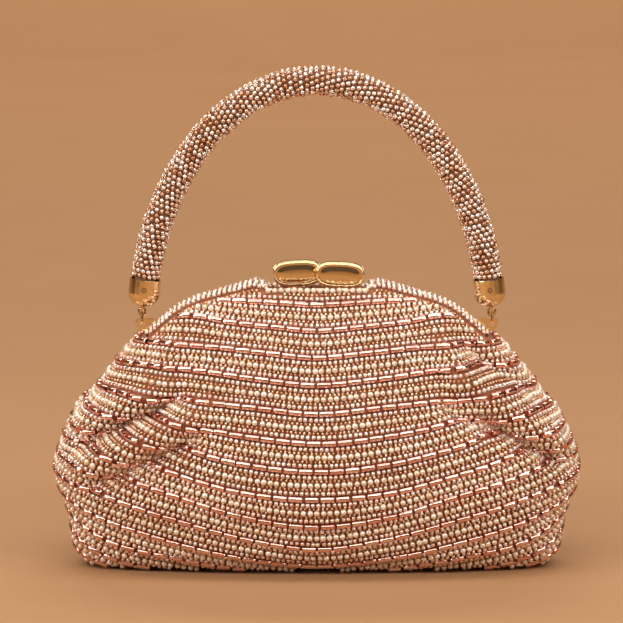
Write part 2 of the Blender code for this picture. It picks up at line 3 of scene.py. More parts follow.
import bmesh
import bpy
import numpy as np
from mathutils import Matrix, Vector


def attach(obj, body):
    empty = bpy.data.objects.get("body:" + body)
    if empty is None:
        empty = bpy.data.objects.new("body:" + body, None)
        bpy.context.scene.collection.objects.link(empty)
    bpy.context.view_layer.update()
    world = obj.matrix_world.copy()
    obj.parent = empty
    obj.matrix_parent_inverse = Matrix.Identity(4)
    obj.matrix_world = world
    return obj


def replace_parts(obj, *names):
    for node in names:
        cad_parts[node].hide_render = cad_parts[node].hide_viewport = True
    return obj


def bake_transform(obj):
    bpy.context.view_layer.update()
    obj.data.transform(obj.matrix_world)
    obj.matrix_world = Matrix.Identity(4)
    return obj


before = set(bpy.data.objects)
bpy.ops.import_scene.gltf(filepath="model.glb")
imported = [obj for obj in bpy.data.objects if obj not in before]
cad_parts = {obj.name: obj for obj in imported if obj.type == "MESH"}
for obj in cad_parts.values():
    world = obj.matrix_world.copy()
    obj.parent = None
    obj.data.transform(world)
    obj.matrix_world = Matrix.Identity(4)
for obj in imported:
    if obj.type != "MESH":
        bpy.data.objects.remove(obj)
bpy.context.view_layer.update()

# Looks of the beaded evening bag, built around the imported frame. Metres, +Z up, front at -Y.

RNG = np.random.default_rng(7)

# ---- the body's shape, as in the frame ----
BODY_Z = np.array([0.0, 0.007, 0.025, 0.048, 0.062, 0.078, 0.1037])
BODY_A = np.array([0.1040, 0.1098, 0.1140, 0.1205, 0.1158, 0.1052, 0.0852])
BODY_B = np.array([0.0190, 0.0305, 0.0435, 0.0470, 0.0455, 0.0405, 0.0290])
DOME_Z = np.array([0.1037, 0.1147, 0.1247, 0.1355])
DOME_B = np.array([0.0290, 0.0205, 0.0130, 0.0052])
SECTION_X, SECTION_Y = 2.6, 2.2
YOKE_Z = 0.1037
SHOULDER_Z = 0.1071
ARCH_R, ARCH_Z = 0.130, 0.0055
SEAT_Z, SEAT_HALF, SEAT_EASE = 0.1290, 0.0265, 0.0045
HEM_Y, SLOT_Y = 0.0049, 0.00085
SEAM_WIDE, SEAM_DIP = 0.93, 0.09
SKIN = 0.0016            # the cloth lies this far inside the beads' outer face
CLOTH_T, BASE_T = 0.0009, 0.0006
FLOOR_GAP = 0.0005       # the lowest height at which a section is read
SECTION_TOP = 0.1338     # and the highest
SHARE_STEPS = 200
FRONT_RISE, BACK_RISE = 0.0026, 0.0006
RISE_X, RISE_REACH = 0.060, 0.014
LUMP, RIPPLE = 0.0006, 0.0003            # soft unevenness of the cloth between the folds
PULL, PULL_REACH, PULL_FULL = 0.32, 2.6, 0.0086

# ---- beads ----
BUGLE_L, BUGLE_R = 0.0061, 0.00138
PEARL_R, SEED_R, AMBER_R = 0.00145, 0.00115, 0.00088
STEPS = {"bugle": 0.0071, "pearl": 0.00302, "seed": 0.00240, "amber": 0.00200}
LIFT = {"bugle": 0.00125, "pearl": 0.00115, "seed": 0.0009, "amber": 0.0006}
KINDS = tuple(STEPS)
SUB_ROWS = ((0.0, "bugle"), (0.21, "seed"), (0.35, "amber"), (0.50, "pearl"), (0.65, "amber"), (0.79, "seed"))
# How far beads stray: along their row in steps, in their direction, and in their size.
SLIP = {"bugle": 0.012, "pearl": 0.03, "seed": 0.03, "amber": 0.03}
WOBBLE = {"bugle": 0.010, "pearl": 0.09, "seed": 0.09, "amber": 0.09}
SPREAD = {"bugle": 0.015, "pearl": 0.035, "seed": 0.035, "amber": 0.035}
LIFT_SPREAD = 0.00007
NEAR = {"bugle": BUGLE_L / 2, "pearl": 0.0006, "seed": 0.0006, "amber": 0.0006}  # where the direction is read
AMBER_ROOM = 0.0078      # rows closer than this have no small beads between them
RIM_ROW = 0.0028         # the wrapped rows stop this far from the dome's edge
SEAT_ROW, SEAT_SHY = 0.0006, 0.002       # and this far from the seat's, up to this short of its ends
LOWEST_ROW, LOWEST_DRAWN = 0.0018, 0.0022    # a row's lowest height before and after the creases draw it
END_ROOM = 0.0012
HEM_ROWS = ((0.0021, "seed"), (0.0044, "seed"), (0.0068, "seed"), (0.0091, "pearl"))
HEM_HALF, HEM_LEAN, HEM_BARE, HEM_INNER = 0.0785, 0.9, 0.0232, 0.0055
FACE_ROWS = ((0.0006, "seed"), (0.0024, "amber"))
FACE_HALF, FACE_LEAN = 0.0765, 0.25
BASE_KINDS = ("bugle", "seed", "pearl", "seed")
BASE_ROWS, BASE_PITCH, BASE_HALF, BASE_EDGE = 5, 0.0032, 0.102, 0.0010
# Heights of the bugle rows in mm, at even shares of the way from the middle of a side to its end.
# Where a row would run below the base its height is negative.
ROW_Z = np.array([
    (134.0, 134.0, 134.0, 133.0, 131.0),
    (122.0, 122.6, 123.2, 123.2, 121.3),
    (111.4, 112.8, 114.3, 114.9, 113.5),
    (100.4, 102.6, 104.4, 105.3, 104.5),
    (88.7, 91.2, 94.5, 95.8, 95.0),
    (76.4, 79.2, 82.0, 84.0, 85.0),
    (63.6, 66.8, 72.0, 75.0, 77.0),
    (51.2, 54.8, 62.0, 66.5, 69.0),
    (38.6, 41.8, 50.6, 58.0, 62.0),
    (26.0, 30.5, 41.0, 49.5, 55.5),
    (14.7, 19.5, 29.0, 39.0, 48.5),
    (5.2, 9.0, 16.5, 27.0, 41.0),
    (-2.0, 1.5, 8.0, 16.0, 33.0),
    (-12.0, -8.5, -2.0, 5.5, 24.0),
    (-22.0, -18.0, -12.0, -4.0, 14.5),
    (-32.0, -28.0, -22.0, -14.0, 5.0),
    (-42.0, -38.0, -32.0, -24.0, -5.0),
]) / 1000

BAG, FRONT = "bag", "front_frame"


def smoothstep(t):
    t = np.clip(t, 0, 1)
    return t * t * (3 - 2 * t)


def curve_read(z, knots, values):
    """Smooth curve through the knots, read at an array of z."""
    z = np.asarray(z, float)
    slopes = np.gradient(values, knots)
    i = np.clip(np.searchsorted(knots, z) - 1, 0, len(knots) - 2)
    step = knots[i + 1] - knots[i]
    t = np.clip((z - knots[i]) / step, 0, 1)
    return ((2 * t**3 - 3 * t**2 + 1) * values[i] + (t**3 - 2 * t**2 + t) * step * slopes[i]
            + (-2 * t**3 + 3 * t**2) * values[i + 1] + (t**3 - t**2) * step * slopes[i + 1])


def half_width(z, inset=0.0):
    z = np.asarray(z, float)
    dome = np.sqrt(np.maximum((ARCH_R - inset) ** 2 - (z - ARCH_Z) ** 2, 1e-10))
    return np.where(z >= YOKE_Z, dome, curve_read(z, BODY_Z, BODY_A) - inset)


def half_depth(z, inset=0.0):
    z = np.asarray(z, float)
    return np.where(z > YOKE_Z, curve_read(z, DOME_Z, DOME_B), curve_read(z, BODY_Z, BODY_B)) - inset


def depth_at(x, z, inset=0.0, hem=HEM_Y):
    share = np.minimum(np.abs(x) / half_width(z, inset), 1.0)
    swell = np.maximum(half_depth(z, inset) - hem, 0.0)
    return hem + swell * (1 - share**SECTION_X) ** (1 / SECTION_Y)


def seam_share(z):
    z = np.asarray(z, float)
    low = SEAM_WIDE - SEAM_DIP * np.sin(math.pi * np.clip(z / YOKE_Z, 0, 1))
    return np.where(z > YOKE_Z, SEAM_WIDE * half_width(YOKE_Z) / half_width(z), low)


def arch_height(x, radius=ARCH_R):
    """The dome's edge at x, or a line inside it: an arc with a flat seat in the middle."""
    x = np.asarray(x, float)
    arc = ARCH_Z + np.sqrt(np.maximum(radius**2 - x**2, 0))
    outer = SEAT_HALF + 0.5 * (ARCH_R - radius)
    return arc + smoothstep((outer - np.abs(x)) / SEAT_EASE) * (SEAT_Z - ARCH_R + radius - arc)


# Folds of the cloth, each from a start to an end in (x, z): half width, then height out of the cloth.
RIDGES = (
    ((-0.108, 0.050), (-0.048, 0.0790), 0.0062, 0.0066),
    ((-0.110, 0.068), (-0.072, 0.0850), 0.0048, 0.0044),
    ((-0.100, 0.083), (-0.062, 0.0910), 0.0050, 0.0022),
    ((0.054, 0.112), (0.066, 0.088), 0.0056, 0.0042),
    ((0.062, 0.094), (0.110, 0.060), 0.0062, 0.0066),
    ((0.082, 0.090), (0.112, 0.073), 0.0046, 0.0038),
    ((-0.058, 0.112), (-0.070, 0.096), 0.0050, 0.0022),
)
# Creases: as the ridges, but they sink in, and the bead rows are drawn towards them.
CREASES = (
    ((-0.110, 0.059), (-0.062, 0.0825), 0.0032, 0.0086),
    ((-0.104, 0.041), (-0.056, 0.0655), 0.0034, 0.0064),
    ((0.074, 0.0740), (0.116, 0.049), 0.0034, 0.0088),
    ((0.068, 0.1030), (0.104, 0.0775), 0.0032, 0.0056),
    ((0.056, 0.0800), (0.080, 0.0640), 0.0032, 0.0036),
)


def fold_place(x, z, start, end):
    """Distance above the line from start to end, and how strong the fold is beside it."""
    ax, az = start
    dx, dz = end[0] - ax, end[1] - az
    length = math.hypot(dx, dz)
    along = ((x - ax) * dx + (z - az) * dz) / length**2
    above = ((z - az) * dx - (x - ax) * dz) / length * (1 if dx > 0 else -1)
    return above, smoothstep((along + 0.12) / 0.3) * smoothstep((1.12 - along) / 0.3)


def bulge(x, z, side):
    """How far the cloth stands out of the plain shape. The back has the front's folds, turned round."""
    x = x if side < 0 else -x
    out = np.zeros(np.broadcast(x, z).shape)
    for lines, sign in ((RIDGES, 1), (CREASES, -1)):
        for start, end, reach, lift in lines:
            above, strength = fold_place(x, z, start, end)
            out = out + sign * lift * strength * np.exp(-((above / reach) ** 2))
    soft = LUMP * np.sin(61 * x + 2.0) * np.sin(47 * z + 0.7) + RIPPLE * np.sin(140 * x + 90 * z)
    flat = smoothstep((0.120 - z) / 0.02) * smoothstep((z - 0.001) / 0.01)
    return (out + soft) * flat


def gather(x, z, side):
    """Height of a bead row after the creases have drawn it in."""
    x = x if side < 0 else -x
    shift = np.zeros(np.broadcast(x, z).shape)
    for start, end, reach, lift in CREASES:
        above, strength = fold_place(x, z, start, end)
        near = np.exp(-((above / (PULL_REACH * reach)) ** 2))
        shift = shift - PULL * strength * above * near * lift / PULL_FULL
    return z + shift


def outward(x, y, z, inset):
    """The plain shape's horizontal normal at a point with y >= 0."""
    wide, deep = half_width(z, inset), half_depth(z, inset) - HEM_Y
    nx = SECTION_X * (np.abs(x) / wide) ** (SECTION_X - 1) / wide * np.sign(x)
    ny = SECTION_Y * np.maximum((np.maximum(y - HEM_Y, 0)) / np.maximum(deep, 1e-4), 1e-4) ** (SECTION_Y - 1)
    ny = ny / np.maximum(deep, 1e-4)
    length = np.maximum(np.hypot(nx, ny), 1e-9)
    return nx / length, ny / length


def folded(x, y, z, side, inset=SKIN):
    """A point of the plain shape moved out or in by the folds."""
    nx, ny = outward(x, y, z, inset)
    lift = bulge(x, z, side)
    fade = smoothstep(y / 0.012)
    return np.stack([x + nx * lift * fade, side * (y + ny * lift * fade), z + shoulder_rise(x, z, side)], -1)


def shoulder_rise(x, z, side):
    """The padded shoulders of the dome stand a little over the frame's plain arc."""
    full = FRONT_RISE if side < 0 else BACK_RISE
    return full * np.exp(-(((np.abs(x) - RISE_X) / RISE_REACH) ** 2)) * smoothstep((z - 0.104) / 0.012)


def front_point(x, z, side, inset=SKIN):
    return folded(x, depth_at(x, z, inset), z, side, inset)


# ---- sections read by their share of the way from the middle to the end ----

def section_table(inset=SKIN):
    heights = np.linspace(FLOOR_GAP, SECTION_TOP, 320)
    shares = np.linspace(0, 1, SHARE_STEPS + 1)
    a = np.linspace(math.pi / 2, 0, 500)
    xs, ys = [], []
    for z in heights:
        wide, deep = float(half_width(z, inset)), float(half_depth(z, inset))
        px = wide * np.cos(a) ** (2 / SECTION_X)
        py = HEM_Y + (deep - HEM_Y) * np.sin(a) ** (2 / SECTION_Y)
        px, py = np.append(px, wide), np.append(py, HEM_Y - HEM_Y * smoothstep((SHOULDER_Z - z) / 0.004))
        px[0] = 0.0
        reach = np.concatenate([[0], np.cumsum(np.hypot(np.diff(px), np.diff(py)))])
        xs.append(np.interp(shares * reach[-1], reach, px))
        ys.append(np.interp(shares * reach[-1], reach, py))
    return heights, np.array(xs), np.array(ys)


HEIGHTS, TABLE_X, TABLE_Y = section_table()


def section_point(u, z):
    """x and y of the plain shape at share u of the way round, at height z."""
    zi = np.clip((z - HEIGHTS[0]) / (HEIGHTS[1] - HEIGHTS[0]), 0, len(HEIGHTS) - 1.001)
    ui = np.clip(u * SHARE_STEPS, 0, SHARE_STEPS - 0.001)
    zl, ul = zi.astype(int), ui.astype(int)
    zf, uf = zi - zl, ui - ul

    def read(table):
        low = table[zl, ul] * (1 - uf) + table[zl, ul + 1] * uf
        high = table[zl + 1, ul] * (1 - uf) + table[zl + 1, ul + 1] * uf
        return low * (1 - zf) + high * zf

    return read(TABLE_X), read(TABLE_Y)


def wrap_point(u, z, end, side):
    """A point of the folded skin. end is -1 on the left and 1 on the right."""
    x = section_point(u, z)[0] * end
    moved = np.clip(gather(x, z, side), 0.0012, SECTION_TOP)
    x, y = section_point(u, moved)
    return folded(x * end, y, moved, side), x * end, moved


def wrap_frame(u, z, end, side):
    """Points with their outward normals."""
    share_step, height_step = 0.003, 0.0004
    here, x, moved = wrap_point(u, z, end, side)

    def at(share, height):
        return wrap_point(share, height, end, side)[0]

    along = at(np.clip(u + share_step, 0, 1), z) - at(np.clip(u - share_step, 0, 1), z)
    up = at(u, z + height_step) - at(u, z - height_step)
    normal = np.cross(along, up) * (end * -side)[:, None]
    normal /= np.maximum(np.linalg.norm(normal, axis=-1, keepdims=True), 1e-12)
    return here, normal, x, moved


# ---- mesh helpers ----

def new_piece(name, mesh, mat, body=None):
    piece = bpy.data.objects.new(name, mesh)
    bpy.context.scene.collection.objects.link(piece)
    mesh.materials.clear()
    mesh.materials.append(mat)
    if body:
        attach(piece, body)
    return piece


def mesh_of(name, verts, faces):
    mesh = bpy.data.meshes.new(name)
    mesh.from_pydata([tuple(v) for v in verts], [], [tuple(f) for f in faces])
    mesh.update()
    mesh.shade_smooth()
    return mesh


def grid_mesh(name, points, flip=False, closed=False):
    """A smooth sheet through a rows x columns x 3 array."""
    rows, cols = points.shape[:2]
    span = cols if closed else cols - 1
    r, c = np.meshgrid(np.arange(rows - 1), np.arange(span), indexing="ij")
    n = (c + 1) % cols
    quads = np.stack([r * cols + c, r * cols + n, (r + 1) * cols + n, (r + 1) * cols + c], -1).reshape(-1, 4)
    if flip:
        quads = quads[:, ::-1]
    return mesh_of(name, points.reshape(-1, 3), quads.tolist())


def thicken(piece, thickness):
    solid = piece.modifiers.new("thickness", "SOLIDIFY")
    solid.thickness = thickness
    solid.offset = -1
    return piece


def turned_template(profile, sides, flat_below=None):
    """A profile (x, radius) turned about X, open at its ends. Steps under flat_below stay flat shaded."""
    verts, faces, flat, rings = [], [], [], []
    for x, r in profile:
        rings.append(list(range(len(verts), len(verts) + sides)))
        for k in range(sides):
            a = 2 * math.pi * (k + 0.5) / sides
            verts.append((x, r * math.cos(a), r * math.sin(a)))
    for i, (low, high) in enumerate(zip(rings, rings[1:])):
        for k in range(sides):
            j = (k + 1) % sides
            faces.append((low[k], high[k], high[j], low[j]))
            flat.append(flat_below is not None and abs(profile[i][0] - profile[i + 1][0]) < flat_below)
    return verts, faces, flat, rings


def capped_template(profile, sides, flat_below=None):
    """A turned profile closed by one flat face at each end."""
    verts, faces, flat, rings = turned_template(profile, sides, flat_below)
    return np.array(verts), faces + [tuple(rings[0]), tuple(rings[-1][::-1])], flat + [True, True]


def round_template(radius, flatness, turns, sides):
    """A ball flattened along X, with small flat ends."""
    a = np.linspace(0, math.pi, turns)[1:-1]
    return capped_template([(-radius * flatness * math.cos(t), radius * math.sin(t)) for t in a], sides)


def ring_template(radius, turns, sides):
    """A short bead with a hole: a ring about X."""
    ring, tube, long = radius * 0.64, radius * 0.36, radius * 0.80
    a = np.linspace(0, 2 * math.pi, turns + 1)[:-1]
    turn = [(-long * math.sin(t), ring + tube * math.cos(t)) for t in a]
    verts, faces, flat, _ = turned_template(turn + turn[:1], sides)
    count = turns * sides
    return np.array(verts[:count]), [tuple(v % count for v in f) for f in faces], flat


def bead_templates():
    half, nip = BUGLE_L / 2, 0.00012
    profile = [(-half, BUGLE_R - nip), (-half + nip, BUGLE_R), (half - nip, BUGLE_R), (half, BUGLE_R - nip)]
    return {"bugle": capped_template(profile, 10, flat_below=nip * 1.5),
            "pearl": round_template(PEARL_R, 0.95, 8, 10),
            "seed": ring_template(SEED_R, 6, 8),
            "amber": round_template(AMBER_R, 0.8, 6, 7)}


TEMPLATES = bead_templates()


class Strung:
    """Beads gathered by kind, each with its place and its directions."""

    def __init__(self):
        self.items = {kind: [] for kind in KINDS}

    def lay(self, path, normals, kind):
        """Beads at even steps along a path, lying on the side that the normals face."""
        step = STEPS[kind]
        gaps = np.linalg.norm(np.diff(path, axis=0), axis=1)
        reach = np.concatenate([[0], np.cumsum(gaps)])
        count = int(reach[-1] / step + 0.35)
        if count < 1:
            return
        spots = (np.arange(count) + 0.5) * reach[-1] / count
        spots = spots + RNG.normal(0, SLIP[kind] * step, count)

        def read(values, at):
            return np.stack([np.interp(at, reach, values[:, i]) for i in range(3)], -1)

        place, normal = read(path, spots), read(normals, spots)
        ahead, behind = (np.clip(spots + shift, 0, reach[-1]) for shift in (NEAR[kind], -NEAR[kind]))
        tangent = read(path, ahead) - read(path, behind)
        tangent += RNG.normal(0, WOBBLE[kind], tangent.shape) * np.linalg.norm(tangent, axis=1, keepdims=True)
        tangent /= np.linalg.norm(tangent, axis=1, keepdims=True)
        normal -= tangent * np.sum(normal * tangent, 1, keepdims=True)
        normal /= np.linalg.norm(normal, axis=1, keepdims=True)
        place = place + normal * (LIFT[kind] + RNG.normal(0, LIFT_SPREAD, (count, 1)))
        self.items[kind].append((place, tangent, normal))

    def pick(self, keep):
        """The beads that the test keeps, as a new set."""
        chosen = Strung()
        for kind, parts in self.items.items():
            for place, tangent, normal in parts:
                mask = keep(place)
                if mask.any():
                    chosen.items[kind].append((place[mask], tangent[mask], normal[mask]))
        return chosen

    def mesh(self, name, kind):
        parts = self.items[kind]
        if not parts:
            return None
        place, tangent, normal = (np.concatenate([p[i] for p in parts]) for i in range(3))
        verts, faces, flat = TEMPLATES[kind]
        count = len(place)
        across = np.cross(normal, tangent)
        size = 1 + RNG.normal(0, SPREAD[kind], (count, 1, 1))
        axes = np.stack([tangent, across, normal], 1)
        points = np.einsum("vi,nij->nvj", verts, axes) * size + place[:, None, :]
        flat_loops = np.array([v for f in faces for v in f])
        all_loops = (flat_loops[None, :] + np.arange(count)[:, None] * len(verts)).ravel()
        sizes = np.tile([len(f) for f in faces], count)
        mesh = bpy.data.meshes.new(name)
        mesh.vertices.add(count * len(verts))
        mesh.vertices.foreach_set("co", points.reshape(-1).astype(np.float32))
        mesh.loops.add(len(all_loops))
        mesh.loops.foreach_set("vertex_index", all_loops.astype(np.int32))
        mesh.polygons.add(len(sizes))
        mesh.polygons.foreach_set("loop_start", np.concatenate([[0], np.cumsum(sizes)[:-1]]).astype(np.int32))
        mesh.update(calc_edges=True)
        mesh.polygons.foreach_set("use_smooth", ~np.tile(np.array(flat, bool), count))
        mesh.update()
        return mesh


# ---- materials ----

def nodes_of(name):
    mat = bpy.data.materials.new(name)
    mat.use_nodes = True
    tree = mat.node_tree
    return mat, tree, tree.nodes["Principled BSDF"]


def add_node(tree, kind, **values):
    node = tree.nodes.new(kind)
    for key, value in values.items():
        if key in node.inputs:
            node.inputs[key].default_value = value
        else:
            setattr(node, key, value)
    return node


def ramp(tree, source, stops):
    node = tree.nodes.new("ShaderNodeValToRGB")
    while len(node.color_ramp.elements) < len(stops):
        node.color_ramp.elements.new(0.5)
    for element, (at, colour) in zip(node.color_ramp.elements, stops):
        element.position = at
        element.color = (*colour, 1)
    tree.links.new(source, node.inputs[0])
    return node.outputs[0]


def bump(tree, shader, height, strength, distance):
    node = add_node(tree, "ShaderNodeBump", Strength=strength, Distance=distance)
    tree.links.new(height, node.inputs["Height"])
    tree.links.new(node.outputs[0], shader.inputs["Normal"])


def noise(tree, scale, detail=2.0):
    where = tree.nodes.new("ShaderNodeTexCoord")
    node = add_node(tree, "ShaderNodeTexNoise", Scale=scale, Detail=detail)
    tree.links.new(where.outputs["Object"], node.inputs["Vector"])
    return node.outputs["Fac"]


def per_bead(tree):
    return tree.nodes.new("ShaderNodeNewGeometry").outputs["Random Per Island"]


def bead_material(name, stops, rough, metal, coat):
    """Glass or pearl whose colour differs a little from bead to bead."""
    mat, tree, shader = nodes_of(name)
    tree.links.new(ramp(tree, per_bead(tree), stops), shader.inputs["Base Color"])
    spread = add_node(tree, "ShaderNodeMapRange", **{"To Min": rough[0], "To Max": rough[1]})
    tree.links.new(noise(tree, 900.0), spread.inputs["Value"])
    tree.links.new(spread.outputs[0], shader.inputs["Roughness"])
    shader.inputs["Metallic"].default_value = metal
    shader.inputs["Coat Weight"].default_value = coat
    shader.inputs["Coat Roughness"].default_value = 0.05
    return mat


def make_materials():
    mats = {}
    mats["bugle"] = bead_material(
        "rose_bugle", [(0.0, (0.84, 0.46, 0.40)), (0.5, (0.94, 0.58, 0.51)), (1.0, (0.98, 0.70, 0.63))],
        (0.05, 0.13), 1.0, 0.0)
    mats["pearl"] = bead_material(
        "cream_pearl", [(0.0, (0.84, 0.64, 0.46)), (0.5, (0.91, 0.75, 0.59)), (1.0, (0.97, 0.87, 0.76))],
        (0.09, 0.17), 0.38, 1.0)
    mats["seed"] = bead_material(
        "clear_seed", [(0.0, (0.88, 0.58, 0.45)), (0.5, (0.97, 0.76, 0.64)), (1.0, (1.0, 0.93, 0.86))],
        (0.05, 0.16), 0.65, 1.0)
    mats["amber"] = bead_material(
        "amber_seed", [(0.0, (0.56, 0.25, 0.11)), (0.5, (0.78, 0.45, 0.24)), (1.0, (0.96, 0.74, 0.52))],
        (0.06, 0.20), 0.75, 1.0)
    mats["handle_seed"] = bead_material(
        "crystal_seed", [(0.0, (0.56, 0.27, 0.13)), (0.4, (0.88, 0.60, 0.44)),
                         (0.7, (1.0, 0.86, 0.76)), (1.0, (1.0, 0.94, 0.88))],
        (0.04, 0.14), 0.7, 1.0)
    mats["cloth"] = cloth_material("copper_cloth", (0.24, 0.07, 0.03), (0.46, 0.17, 0.07), 2600.0)
    mats["sleeve"] = cloth_material("sleeve_cloth", (0.22, 0.08, 0.035), (0.38, 0.16, 0.07), 2600.0)
    mats["satin"] = satin_material()
    mats["gold"] = gold_material("polished_gold", (0.88, 0.68, 0.38), 0.05)
    mats["steel"] = gold_material("frame_steel", (0.80, 0.62, 0.36), 0.22)
    mats["board"] = cloth_material("board_fibre", (0.20, 0.15, 0.12), (0.28, 0.22, 0.17), 900.0)
    mats["floor"] = floor_material()
    return mats


def cloth_material(name, dark, light, scale):
    """Plain weave: two crossed sets of fine ribs over a soft mottle."""
    mat, tree, shader = nodes_of(name)
    where = tree.nodes.new("ShaderNodeTexCoord")
    waves = []
    for axis in ("X", "Z"):
        wave = add_node(tree, "ShaderNodeTexWave", Scale=scale / 3, Distortion=0.6, bands_direction=axis)
        tree.links.new(where.outputs["Object"], wave.inputs["Vector"])
        waves.append(wave.outputs["Fac"])
    mix = add_node(tree, "ShaderNodeMath", operation="MAXIMUM")
    tree.links.new(waves[0], mix.inputs[0])
    tree.links.new(waves[1], mix.inputs[1])
    mottle = add_node(tree, "ShaderNodeMath", operation="MULTIPLY")
    tree.links.new(mix.outputs[0], mottle.inputs[0])
    tree.links.new(noise(tree, 180.0, 4.0), mottle.inputs[1])
    tree.links.new(ramp(tree, mottle.outputs[0], [(0.15, dark), (0.6, light)]), shader.inputs["Base Color"])
    bump(tree, shader, mix.outputs[0], 0.5, 0.0002)
    shader.inputs["Roughness"].default_value = 0.55
    shader.inputs["Sheen Weight"].default_value = 0.08
    shader.inputs["Sheen Tint"].default_value = (1.0, 0.75, 0.6, 1)
    return mat


def satin_material():
    mat, tree, shader = nodes_of("lining_satin_look")
    soft = noise(tree, 40.0, 3.0)
    tree.links.new(ramp(tree, soft, [(0.3, (0.55, 0.32, 0.22)), (0.7, (0.70, 0.45, 0.33))]),
                   shader.inputs["Base Color"])
    where = tree.nodes.new("ShaderNodeTexCoord")
    twill = add_node(tree, "ShaderNodeTexWave", Scale=900.0, Distortion=0.4, bands_direction="DIAGONAL")
    tree.links.new(where.outputs["Object"], twill.inputs["Vector"])
    bump(tree, shader, twill.outputs["Fac"], 0.25, 0.0001)
    shader.inputs["Roughness"].default_value = 0.38
    shader.inputs["Anisotropic"].default_value = 0.4
    shader.inputs["Sheen Weight"].default_value = 0.4
    return mat


def gold_material(name, colour, rough):
    """Plated metal with faint polishing marks and a little wear in its gloss."""
    mat, tree, shader = nodes_of(name)
    worn = tuple(c * 0.86 for c in colour)
    tree.links.new(ramp(tree, noise(tree, 120.0, 5.0), [(0.25, worn), (0.6, colour)]),
                   shader.inputs["Base Color"])
    spread = add_node(tree, "ShaderNodeMapRange", **{"To Min": rough, "To Max": rough + 0.12})
    tree.links.new(noise(tree, 420.0, 6.0), spread.inputs["Value"])
    tree.links.new(spread.outputs[0], shader.inputs["Roughness"])
    shader.inputs["Metallic"].default_value = 1.0
    bump(tree, shader, noise(tree, 260.0, 2.0), 0.03, 0.0002)
    return mat


def floor_material():
    mat, tree, shader = nodes_of("pale_floor")
    shades = [(0.3, (0.425, 0.226, 0.100)), (0.7, (0.440, 0.237, 0.107))]
    tree.links.new(ramp(tree, noise(tree, 9.0, 3.0), shades), shader.inputs["Base Color"])
    shader.inputs["Roughness"].default_value = 0.8
    return mat


MATS = make_materials()


# ---- camera, stage and lights ----

VIEW_WIDTH = 0.286       # what the picture spans at the bag
VIEW_RISE = math.radians(9)
VIEW_AWAY = 2.2
VIEW_AT = Vector((-0.0025, 0.0, 0.1175))


def make_camera():
    data = bpy.data.cameras.new("camera")
    data.sensor_width = 36
    data.lens = 36 * VIEW_AWAY / VIEW_WIDTH
    data.clip_end = 20
    camera = bpy.data.objects.new("camera", data)
    bpy.context.scene.collection.objects.link(camera)
    back = Vector((0, -math.cos(VIEW_RISE), math.sin(VIEW_RISE)))
    camera.location = VIEW_AT + back * VIEW_AWAY
    camera.rotation_euler = (-back).to_track_quat("-Z", "Y").to_euler()
    bpy.context.scene.camera = camera


def make_stage():
    points = []
    start, radius, half, drop = 2.3, 0.8, 4.0, 0.0002
    turns = np.linspace(0, math.pi / 2, 14)
    bend = [(start + radius * math.sin(a), radius - radius * math.cos(a)) for a in turns]
    for y, z in [(-3.0, 0.0), *bend, (3.1, 3.0)]:
        points.append([(-half, y, z - drop), (half, y, z - drop)])
    floor = bpy.data.objects.new("floor", grid_mesh("floor", np.array(points)))
    bpy.context.scene.collection.objects.link(floor)
    floor.data.materials.append(MATS["floor"])


def area_light(name, place, target, size, power, colour):
    data = bpy.data.lights.new(name, "AREA")
    data.shape = "RECTANGLE"
    data.size, data.size_y = size
    data.energy = power
    data.color = colour
    lamp = bpy.data.objects.new(name, data)
    bpy.context.scene.collection.objects.link(lamp)
    lamp.location = place
    lamp.rotation_euler = (Vector(target) - Vector(place)).to_track_quat("-Z", "Y").to_euler()


def make_lights():
    world = bpy.data.worlds.new("studio")
    world.use_nodes = True
    world.node_tree.nodes["Background"].inputs[0].default_value = (0.44, 0.31, 0.22, 1)
    world.node_tree.nodes["Background"].inputs[1].default_value = 0.26
    bpy.context.scene.world = world
    bpy.context.scene.view_settings.view_transform = "Standard"
    warm = (1.0, 0.95, 0.90)
    area_light("front_strip", (0.0, -1.35, 1.15), (0, 0, 0.07), (3.2, 0.16), 21, warm)
    area_light("top_box", (0.0, -0.25, 1.35), (0, 0, 0.1), (2.4, 0.40), 13, warm)
    area_light("left_box", (-1.2, -0.7, 0.60), (0, 0, 0.1), (0.35, 0.8), 7, warm)
    area_light("right_box", (1.2, -0.7, 0.55), (0, 0, 0.1), (0.30, 0.8), 4, warm)
    area_light("back_wash", (0.0, 1.9, 2.3), (0, 2.5, 0.0), (3.4, 0.5), 58, warm)


# ---- cloth pieces ----

def dome_columns(inset, cols=121):
    reach = float(half_width(YOKE_Z, inset) * (seam_share(YOKE_Z) + 0.004))
    return np.linspace(-1, 1, cols) * reach


def panel_grid(side, inset, z_low, rows=90, cols=161, hem=HEM_Y, lumps=True, lip=SLOT_Y):
    """The cloth of one side, from z_low up to the hem, as an array of points."""
    across = np.linspace(-1, 1, cols)

    def place(x, z):
        if lumps:
            return front_point(x, z, side, inset)
        return np.stack([x, side * depth_at(x, z, inset, hem), z + 0 * x], -1)

    out = []
    for z in np.linspace(z_low, YOKE_Z - 0.001, rows) if rows else []:
        x = across * half_width(z, inset) * (seam_share(z) + 0.004)
        out.append(place(x, np.full(cols, z)))
    x = dome_columns(inset, cols)
    top = arch_height(x, ARCH_R - inset)
    for t in np.sin(np.linspace(0, 1, 30) * math.pi / 2)[1 if rows else 0:]:
        out.append(place(x, YOKE_Z + t * (top - YOKE_Z)))
    if lip is not None:
        deep = np.abs(out[-1][:, 1])
        for t in np.linspace(0, 1, 8)[1:]:
            last = out[-1].copy()
            last[:, 1] = side * (deep + t * (lip - deep))
            out.append(last)
    return np.array(out)


